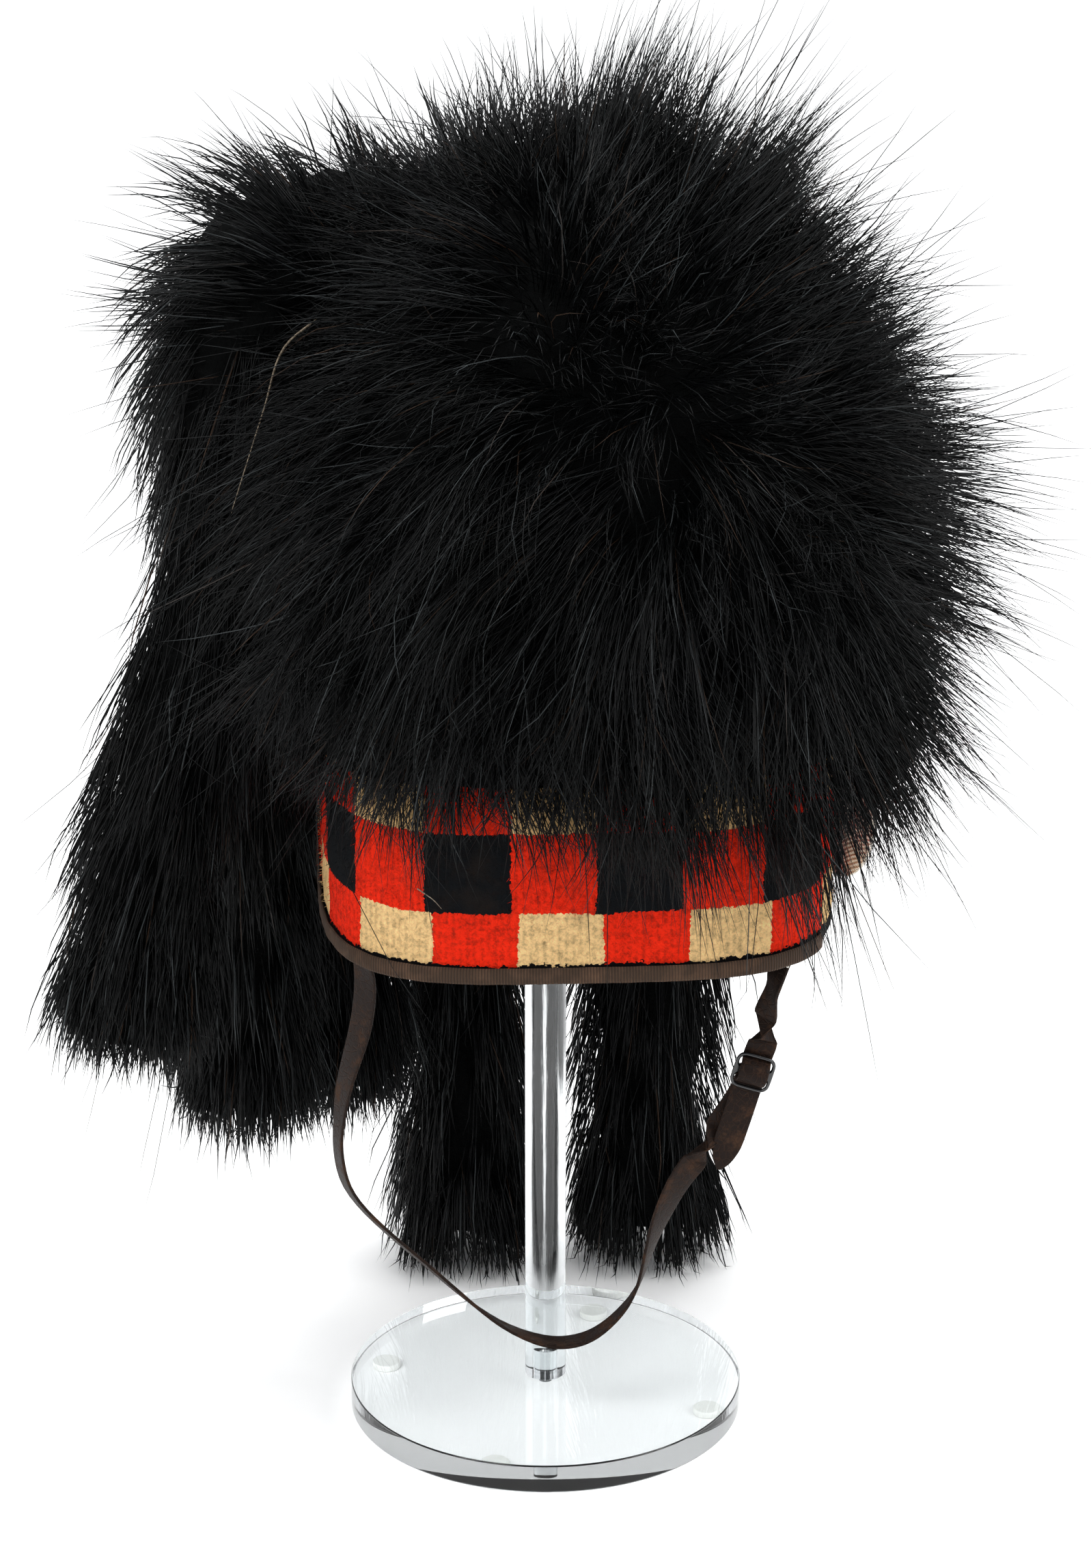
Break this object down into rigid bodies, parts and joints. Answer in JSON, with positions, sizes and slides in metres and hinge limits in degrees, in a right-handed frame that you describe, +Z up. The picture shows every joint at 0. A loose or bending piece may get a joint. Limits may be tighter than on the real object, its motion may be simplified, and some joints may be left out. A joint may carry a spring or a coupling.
{
  "type": "feather bonnet on a display stand",
  "caption": "Black feather bonnet with a checked wool band, hanging feather tails and a buckled chin strap, open underneath, on a clear disc-and-rod display stand.",
  "frame": {"origin": "middle of the base disc's flat underside, on the rod's axis; the pads reach 2.5 mm below it", "axes": "+Z up along the rod, +X to the right of somebody who faces the bonnet, -Y the way the bonnet's front faces"},
  "size_m": [0.3079, 0.2836, 0.4446],
  "materials": {
    "clear_acrylic": "polished clear acrylic",
    "pad_rubber": "soft pale pad",
    "diced_wool": "felted wool, red, cream and dark blue checks",
    "brown_ribbon": "ribbed ribbon",
    "black_cloth": "plain black cloth",
    "buckram": "stiff open weave, frayed",
    "black_silk": "pleated ribbon, soft sheen",
    "black_feather": "ostrich feather, glossy fronds",
    "strap_leather": "worn and crackled",
    "japanned_wire": "black japanned"
  },
  "bodies": {
    "root": {"stand_base": "clear_acrylic", "stand_foot_1": "pad_rubber", "stand_foot_2": "pad_rubber", "stand_foot_3": "pad_rubber", "stand_foot_4": "pad_rubber", "stand_rod": "clear_acrylic", "stand_stud": "clear_acrylic", "stand_plate": "clear_acrylic", "diced_band": "diced_wool", "rim_binding": "brown_ribbon", "crown_frame": "black_cloth", "torn_lining": "buckram", "cockade_backing": "buckram", "cockade": "black_silk", "crown_feathers": "black_feather", "tail_1": "black_feather", "tail_2": "black_feather", "tail_3": "black_feather", "tail_4": "black_feather", "tail_5": "black_feather", "chin_strap_long": "strap_leather", "chin_strap_short": "strap_leather", "chin_buckle": "japanned_wire"}
  },
  "joints": []
}
